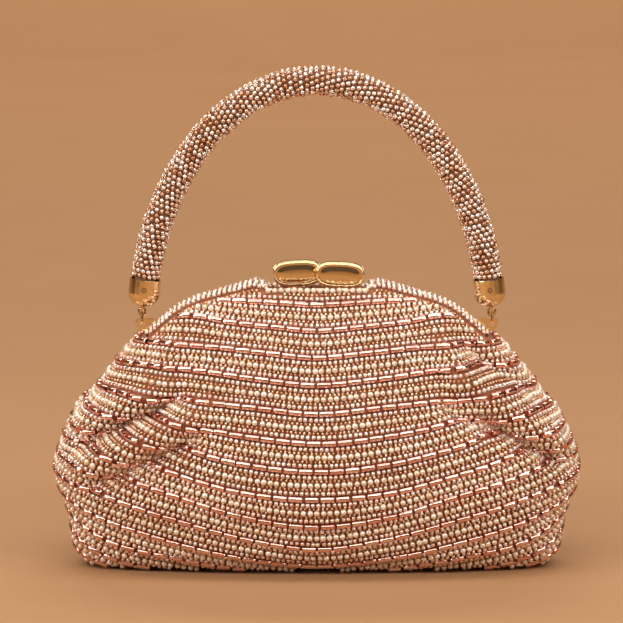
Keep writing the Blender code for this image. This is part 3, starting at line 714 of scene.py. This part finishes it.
def gusset_grid(end, rows=90, cols=41):
    """The cloth of one end, from the front seam round to the back seam."""
    out = []
    for z in np.linspace(0.0014, SHOULDER_Z, rows):
        wide = float(half_width(z, SKIN))
        seam = wide * float(seam_share(z) - 0.001)
        u = np.linspace(0, 1, 400)
        x, y = section_point(u, np.full(400, z))
        first = np.interp(seam, x, u)
        half = np.linspace(first, 1, cols)
        hx, hy = section_point(half, np.full(cols, z))
        front = folded(end * hx, hy, np.full(cols, z), -1)
        back = folded(end * hx, hy, np.full(cols, z), 1)[::-1]
        out.append(np.concatenate([front, back[1:]]))
    return np.array(out)


def fold_with_frame(piece):
    """Bakes the piece's placement into its mesh, leaving it on no body."""
    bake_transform(piece)


def make_cloth():
    front = new_piece("front_cloth", grid_mesh("front_cloth", panel_grid(-1, SKIN, 0.0014)), MATS["cloth"])
    fold_with_frame(thicken(front, CLOTH_T))
    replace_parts(front, "front_panel", "front_yoke")
    back = new_piece("back_cloth", grid_mesh("back_cloth", panel_grid(1, SKIN, 0.0014), flip=True),
                     MATS["cloth"], BAG)
    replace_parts(thicken(back, CLOTH_T), "back_panel")
    for end, name in ((-1, "left_gusset"), (1, "right_gusset")):
        mesh = grid_mesh(name + "_cloth", gusset_grid(end), flip=end < 0)
        piece = new_piece(name + "_cloth", mesh, MATS["cloth"], BAG)
        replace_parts(thicken(piece, CLOTH_T), name)
    x = np.linspace(-1, 1, 121) * float(half_width(FLOOR_GAP)) * 0.995
    rows = [np.stack([x, t * base_half(x), np.full_like(x, 0.0019)], -1) for t in np.linspace(-1, 1, 21)]
    base = new_piece("base_cloth", grid_mesh("base_cloth", np.array(rows), flip=True), MATS["cloth"], BAG)
    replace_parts(thicken(base, BASE_T), "base_panel")


def base_half(x):
    """Half depth of the flat base at x."""
    share = np.minimum(np.abs(x) / half_width(FLOOR_GAP), 1)
    return HEM_Y + (half_depth(FLOOR_GAP) - HEM_Y) * (1 - share**SECTION_X) ** (1 / SECTION_Y)


# ---- bead rows ----

def row_heights(row, u):
    """Heights of one row at shares u of the way round. A part row lies between two bugle rows."""
    low = int(row)
    part = row - low
    values = ROW_Z[low] * (1 - part) + ROW_Z[min(low + 1, len(ROW_Z) - 1)] * part
    knots = np.linspace(0, 1, len(values))
    return curve_read(u, np.insert(knots, 0, -knots[1]), np.insert(values, 0, values[1]))


def lay_wraps(side):
    """Every row of one side, from the middle round to both ends."""
    strung = Strung()
    u = np.linspace(0, 1, 700)
    for group in range(len(ROW_Z) - 1):
        for part, kind in SUB_ROWS:
            z = row_heights(group + part, u)
            tight = kind == "amber" and row_heights(group, u) - row_heights(group + 1, u) < AMBER_ROOM
            right = wrap_frame(u, z, np.ones_like(u), side)
            left = wrap_frame(u, z, -np.ones_like(u), side)
            path, normal, x, moved = (np.concatenate([b[1:][::-1], a]) for a, b in zip(right, left))
            z, tight = (np.concatenate([v[1:][::-1], v]) for v in (z, tight | np.zeros_like(u, bool)))
            top = arch_height(x, ARCH_R - SKIN) - np.where(np.abs(x) < SEAT_HALF - SEAT_SHY, SEAT_ROW, RIM_ROW)
            fits = (moved > LOWEST_DRAWN) & (z > LOWEST_ROW) & ~tight
            fits &= moved < np.maximum(top, SHOULDER_Z - END_ROOM)
            fits &= np.linalg.norm(normal, axis=1) > 0.5
            lay_runs(strung, path, normal, fits, kind)
    return strung


def lay_runs(strung, path, normal, fits, kind):
    """One bead row for each unbroken stretch."""
    edges = np.flatnonzero(np.diff(np.concatenate([[0], fits.astype(int), [0]])))
    for a, b in zip(edges[::2], edges[1::2]):
        if b - a > 4:
            strung.lay(path[a:b], normal[a:b], kind)


def lay_hem(side, strung):
    """Rows along the dome's rim and over the frame rail, with room for the finger plates."""
    x = np.linspace(-HEM_HALF, HEM_HALF, 900)
    z = arch_height(x, ARCH_R - SKIN)
    rise = np.gradient(z, x)
    up = np.stack([-rise, 0 * x, np.ones_like(x)], -1)
    up /= np.linalg.norm(up, axis=1, keepdims=True)
    deep = depth_at(x, z, SKIN)
    lay_face_rim(side, strung)
    for k, (y, kind) in enumerate(HEM_ROWS):
        fits = deep > y - 0.0006
        if y < HEM_INNER:
            fits &= np.abs(x) > HEM_BARE
        tilt = HEM_LEAN if k == 1 else 0.0
        normal = up + np.array([0, side * tilt, 0])
        normal /= np.linalg.norm(normal, axis=1, keepdims=True)
        path = np.stack([x, np.full_like(x, side * y), z + shoulder_rise(x, z, side)], -1)
        lay_runs(strung, path, normal, fits, kind)


def lay_face_rim(side, strung):
    """Two rows that close the ends of the wrapped rows, just inside the dome's edge."""
    x = np.linspace(-FACE_HALF, FACE_HALF, 900)
    for inset, kind in FACE_ROWS:
        z = arch_height(x, ARCH_R - SKIN - inset)
        place = front_point(x, z, side)
        below = front_point(x, z - 0.0006, side)
        along = np.gradient(place, axis=0)
        normal = np.cross(along, place - below) * -side
        normal = normal / np.linalg.norm(normal, axis=1, keepdims=True)
        normal[:, 2] += FACE_LEAN
        lay_runs(strung, place, normal, np.abs(x) > SEAT_HALF - 0.001, kind)


def lay_base(strung):
    """Straight rows under the base, their beads just touching the ground."""
    for k in range(-BASE_ROWS, BASE_ROWS + 1):
        kind = BASE_KINDS[k % len(BASE_KINDS)]
        y = k * BASE_PITCH
        x = np.linspace(-BASE_HALF, BASE_HALF, 300)
        x = x[base_half(x) > abs(y) + BASE_EDGE]
        radius = {"bugle": BUGLE_R, "pearl": PEARL_R, "seed": SEED_R}[kind] * 1.06
        path = np.stack([x, np.full_like(x, y), np.full_like(x, radius)], -1)
        normal = np.tile([0.0, 0.0, -1.0], (len(x), 1))
        path[:, 2] += LIFT[kind]
        strung.lay(path, normal, kind)


def bead_pieces(strung, label, body, looks=None):
    for kind in KINDS:
        name = f"{label}_{kind}s"
        mesh = strung.mesh(name, kind)
        if mesh is None:
            continue
        piece = new_piece(name, mesh, MATS[(looks or {}).get(kind, kind)], body)
        if body is None:
            fold_with_frame(piece)


def on_panel(place):
    """True for the beads that lie on the big front or back panel, and False on the end gussets."""
    z = np.clip(place[:, 2], 0.0, 0.133)
    return (np.abs(place[:, 0]) < half_width(z) * seam_share(z)) | (place[:, 2] > SHOULDER_Z + 0.001)


def make_beads():
    ends = Strung()
    for side, label, body in ((-1, "front", None), (1, "back", BAG)):
        rows = lay_wraps(side)
        for kind, parts in rows.pick(lambda p: ~on_panel(p)).items.items():
            ends.items[kind] += parts
        rows = rows.pick(on_panel)
        lay_hem(side, rows)
        bead_pieces(rows, label, body)
    bead_pieces(ends.pick(lambda p: p[:, 0] < 0), "left_end", BAG)
    bead_pieces(ends.pick(lambda p: p[:, 0] > 0), "right_end", BAG)
    strung = Strung()
    lay_base(strung)
    bead_pieces(strung, "base", BAG)


# ---- handle ----

ARCH_HALF, ARCH_RISE, ARCH_BASE = 0.0800, 0.1120, 0.1120
CORD_R = 0.0050          # the cloth tube under the beads
CAP_TOP_Z = 0.1329
TUBE_LOW_Z, TUBE_T = 0.1290, 0.0008
ROUND_BEADS, ROUND_STEP = 15, 0.00238    # beads in one round of the handle, and rounds along it
ROUND_TWIST = 0.13
BEAD_ROUND, BEAD_ALONG, BEAD_MESS = 0.75, 0.6, 0.45      # a handle bead's way round, along, and by chance
BEAD_LIFT_SPREAD, BEAD_SLIP = 0.00016, 0.00022


def handle_frame(count, low):
    first = math.asin((low - ARCH_BASE) / ARCH_RISE)
    a = np.linspace(first, math.pi - first, count)
    place = np.stack([-ARCH_HALF * np.cos(a), 0 * a, ARCH_BASE + ARCH_RISE * np.sin(a)], -1)
    along = np.stack([ARCH_HALF * np.sin(a), 0 * a, ARCH_RISE * np.cos(a)], -1)
    along /= np.linalg.norm(along, axis=1, keepdims=True)
    out = np.cross(np.array([0.0, 1.0, 0.0]), along)
    return place, along, out


def make_tube():
    place, _, out = handle_frame(140, TUBE_LOW_Z)
    turns = np.linspace(0, 2 * math.pi, 24, endpoint=False)
    rows = [p + CORD_R * (np.cos(turns)[:, None] * o + np.sin(turns)[:, None] * np.array([0, 1.0, 0]))
            for p, o in zip(place, out)]
    piece = new_piece("handle_tube", grid_mesh("handle_tube", np.array(rows), closed=True), MATS["sleeve"],
                      "handle")
    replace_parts(thicken(piece, TUBE_T), "handle_sleeve")


def make_handle_beads():
    """Rounds of beads along the tube, each turned a little from the last, with uneven directions."""
    strung = Strung()
    place, along, out = handle_frame(1200, CAP_TOP_Z + 0.0004)
    reach = np.concatenate([[0], np.cumsum(np.linalg.norm(np.diff(place, axis=0), axis=1))])
    radius = CORD_R + SEED_R * 0.85
    count = int(reach[-1] / ROUND_STEP)
    for i in range(count):
        s = (i + 0.5) * reach[-1] / count
        p, o, t = (np.array([np.interp(s, reach, v[:, j]) for j in range(3)]) for v in (place, out, along))
        near = min(s, reach[-1] - s)
        r = radius - 0.0006 * math.exp(-near / 0.002)
        a = 2 * math.pi * (np.arange(ROUND_BEADS) + 0.5 * (i % 2) + ROUND_TWIST * i) / ROUND_BEADS
        n = np.cos(a)[:, None] * o + np.sin(a)[:, None] * np.array([0, 1.0, 0])
        round_way = np.cross(t, n)
        tangent = round_way * BEAD_ROUND + t * BEAD_ALONG + RNG.normal(0, BEAD_MESS, n.shape)
        tangent -= n * np.sum(tangent * n, 1, keepdims=True) * 0.8
        tangent /= np.linalg.norm(tangent, axis=1, keepdims=True)
        normal = n - tangent * np.sum(n * tangent, 1, keepdims=True)
        normal /= np.linalg.norm(normal, axis=1, keepdims=True)
        spot = p + n * (r + RNG.normal(0, BEAD_LIFT_SPREAD, (ROUND_BEADS, 1)))
        spot = spot + t * RNG.normal(0, BEAD_SLIP, (ROUND_BEADS, 1))
        strung.items["seed"].append((spot, tangent, normal))
    bead_pieces(strung, "handle", "handle", {"seed": "handle_seed"})


# ---- finger plates ----

PLATE_W, PLATE_H, PLATE_T = 0.0222, 0.0119, 0.0046
PLATE_X, PLATE_SHIFT, PLATE_Z, PLATE_TILT = 0.0098, 0.0008, 0.1350, math.radians(3)
PLATE_ROUND, PLATE_CROWN, PLATE_GAP = 0.0013, 0.00018, 0.0003
PLATE_CORNER = 2 / 3.0


def make_plate(side, label, body):
    """A polished lozenge with well rounded edges and a slightly domed face."""
    turns = np.linspace(0, math.pi / 2, 7)
    edge = [(PLATE_ROUND * (1 - math.sin(a)), PLATE_T / 2 - PLATE_ROUND * (1 - math.cos(a))) for a in turns]
    dome = [(PLATE_H / 2 * k, PLATE_T / 2 + PLATE_CROWN * k) for k in (0.92, 0.7, 0.45)]
    half = dome + edge[::-1]
    profile = [(d, -y) for d, y in half] + [(d, y) for d, y in half[::-1]]
    a = np.linspace(0, 2 * math.pi, 72, endpoint=False)
    cos, sin = np.cos(a), np.sin(a)
    turn = math.copysign(1, -side) * PLATE_TILT
    rows = []
    for inset, y in profile:
        x = (PLATE_W / 2 - inset) * np.sign(cos) * np.abs(cos) ** PLATE_CORNER
        z = (PLATE_H / 2 - inset) * np.sign(sin) * np.abs(sin) ** PLATE_CORNER
        rows.append(np.stack([PLATE_SHIFT - side * PLATE_X + x * math.cos(turn) + z * math.sin(turn),
                              np.full_like(x, side * (PLATE_GAP + PLATE_T / 2) + y),
                              PLATE_Z + z * math.cos(turn) - x * math.sin(turn)], -1))
    mesh = grid_mesh(f"{label}_plate", np.array(rows), closed=True)
    bm = bmesh.new()
    bm.from_mesh(mesh)
    bmesh.ops.holes_fill(bm, edges=[e for e in bm.edges if e.is_boundary])
    bmesh.ops.recalc_face_normals(bm, faces=bm.faces)
    bm.to_mesh(mesh)
    bm.free()
    mesh.shade_smooth()
    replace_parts(new_piece(f"{label}_plate", mesh, MATS["gold"], body), f"{label}_clasp_plate")


# ---- lining ----

LINING_INSET = 0.0055
LINING_T = 0.0004
WRINKLE = 0.0004
FLAP_INSET, FLAP_HEM, FLAP_DROP = 0.0080, 0.0022, 0.0030
POCKET_HALF, POCKET_LOW, POCKET_TOP, POCKET_SAG = 0.045, 0.036, 0.084, 0.0016


def wrinkled(x, y, z):
    """How far the satin stands in from its plain shape: long soft wrinkles that fade at the floor."""
    wave = np.sin(95 * x + 30 * z + 2.2 * np.sin(40 * z)) + 0.6 * np.sin(170 * x - 60 * z + 1.3)
    return WRINKLE * wave * smoothstep(z / 0.02)


def satin_piece(label, side, points, flip):
    """One side's satin. The back one rides on the bag; the front one is on no body, its placement baked into
    its mesh.
    """
    piece = new_piece(label, grid_mesh(label, points, flip=flip), MATS["satin"], BAG if side > 0 else None)
    thicken(piece, LINING_T)
    if side < 0:
        fold_with_frame(piece)
    return piece


def make_cup(side, label):
    """Half of the pouch: its floor from the middle out, then its wall."""
    floor = [(0.0046, share) for share in (0.0, 0.3, 0.6, 0.85, 0.95)]
    wall = [(z, 1.0) for z in np.linspace(0.006, 0.0996, 60)]
    turns = np.linspace(0, math.pi, 121) * side
    cos, sin = np.cos(turns), np.sin(turns)
    rows = []
    for z, share in floor + wall:
        wide, deep = float(half_width(z, LINING_INSET)), float(half_depth(z, LINING_INSET))
        x = share * wide * np.sign(cos) * np.abs(cos) ** (2 / SECTION_X)
        y = share * deep * np.sign(sin) * np.abs(sin) ** (2 / SECTION_Y)
        size = 1 - (0.0007 + wrinkled(x, y, np.full_like(x, z))) / np.maximum(np.hypot(x, y), 0.002)
        rows.append(np.stack([x * size, y * size, np.full_like(x, z)], -1))
    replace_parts(satin_piece(f"{label}_satin_cup", side, np.array(rows), side < 0), "lining_cup")


def make_flap(side, label):
    """The satin behind one half of the frame."""
    points = panel_grid(side, FLAP_INSET, YOKE_Z, rows=0, hem=FLAP_HEM, lumps=False, lip=None)
    low = points[0].copy()
    low[:, 2] -= FLAP_DROP
    points = np.concatenate([low[None], points])
    points[..., 1] += side * -wrinkled(points[..., 0], points[..., 1], points[..., 2]) * 0.6
    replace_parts(satin_piece(f"{label}_satin_flap", side, points, side > 0), f"{label}_lining_yoke")


def make_pocket():
    x, z = np.meshgrid(np.linspace(-POCKET_HALF, POCKET_HALF, 90), np.linspace(POCKET_LOW, POCKET_TOP, 48))
    sag = POCKET_SAG * np.cos(x / POCKET_HALF * math.pi / 2) * smoothstep((z - 0.05) / 0.034)
    y = depth_at(x, z, LINING_INSET + 0.0015, 0.0) - sag
    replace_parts(satin_piece("satin_pocket", 1, np.stack([x, y, z], -1), True), "slip_pocket")


def make_lining():
    for make in (make_cup, make_flap):
        for side, label in ((-1, "front"), (1, "back")):
            make(side, label)
    make_pocket()


def dress(names, look):
    """Carried-over nodes get their looks through their own material slots."""
    for name in names:
        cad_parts[name].material_slots[0].material = MATS[look]


GOLD = ("left_hinge_rivet", "right_hinge_rivet", "left_handle_lug", "right_handle_lug", "left_lug_rivet",
        "right_lug_rivet", "left_jump_ring", "right_jump_ring", "left_end_cap", "right_end_cap",
        "left_cap_eye", "right_cap_eye")
STEEL = ("front_frame", "back_frame", "front_clasp_stem", "back_clasp_stem", "left_grub_screw",
         "right_grub_screw")
dress(GOLD, "gold")
dress(STEEL, "steel")
dress(("handle_core", "base_board"), "board")

make_camera()
make_stage()
make_lights()
make_cloth()
make_beads()
make_tube()
make_handle_beads()
make_plate(-1, "front", FRONT)
make_plate(1, "back", BAG)
make_lining()
